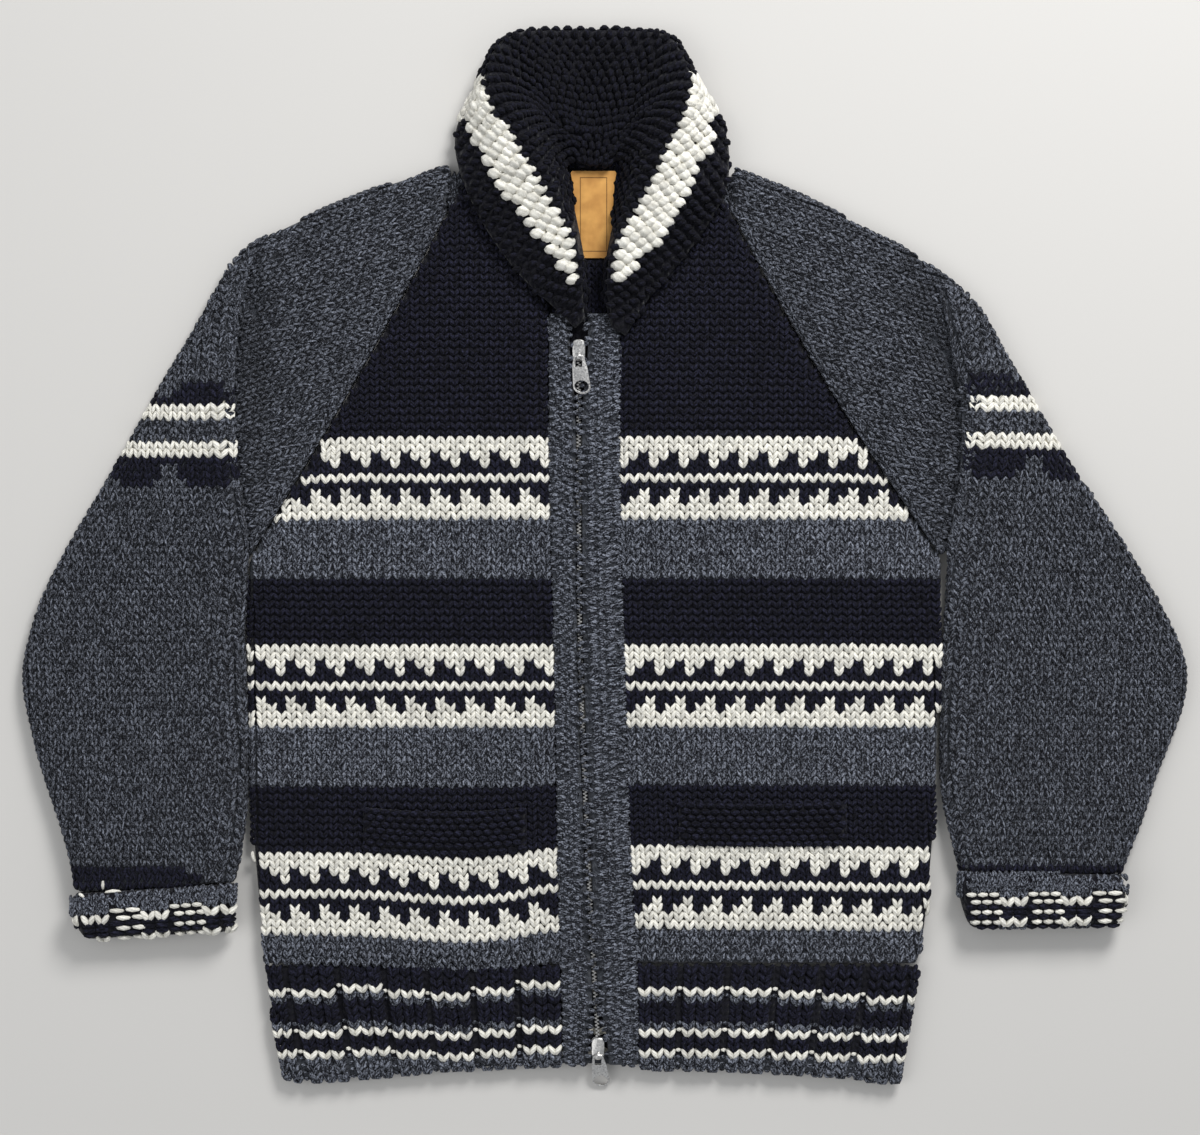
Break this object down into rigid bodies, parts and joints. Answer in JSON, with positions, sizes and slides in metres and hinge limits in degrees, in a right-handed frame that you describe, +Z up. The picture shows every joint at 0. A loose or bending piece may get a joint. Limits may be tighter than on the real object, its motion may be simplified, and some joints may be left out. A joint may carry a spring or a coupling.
{
  "type": "fair isle zip cardigan",
  "caption": "Bulky wool raglan cardigan with shawl collar, banded fair isle fronts, welt pockets, turned-back cuffs and a metal zip, laid flat on its back",
  "frame": {"origin": "middle of the underside of the box round the whole garment, on the surface it lies on", "axes": "X across the garment with its wearer's left at +X, Y from the hem up to the collar, Z up from the surface"},
  "size_m": [0.933, 0.8486, 0.0448],
  "materials": {
    "grey_wool": "matte",
    "black_wool": "matte",
    "cream_wool": "matte",
    "tan_leather": "satin",
    "zip_metal": "satin"
  },
  "bodies": {
    "garment": {"back": "grey_wool", "front_left": "grey_wool", "front_right": "grey_wool", "sleeve_left": "grey_wool", "sleeve_right": "grey_wool", "zip_band_left": "grey_wool", "zip_band_right": "grey_wool", "hem_back": "black_wool", "hem_front_left": "black_wool", "hem_front_right": "black_wool", "cuff_left": "black_wool", "cuff_right": "black_wool", "collar": "black_wool", "pocket_welt_left": "black_wool", "pocket_welt_right": "black_wool", "neck_label": "tan_leather", "zip_chain": "zip_metal", "zip_slider_bottom": "zip_metal", "zip_slider_top": "zip_metal"},
    "bottom_pull": {"pull_tab_bottom": "zip_metal"},
    "top_pull": {"pull_tab_top": "zip_metal"}
  },
  "joints": [
    {"name": "bottom_pull_hinge", "type": "hinge", "parent": "garment", "child": "bottom_pull", "pos_m": [-0.00511, -0.39747, 0.0154], "axis": [-1, 0, 0], "range_deg": [0, 195]},
    {"name": "top_pull_hinge", "type": "hinge", "parent": "garment", "child": "top_pull", "pos_m": [-0.0205, 0.16153, 0.0154], "axis": [-1, 0, 0], "range_deg": [0, 125]}
  ]
}
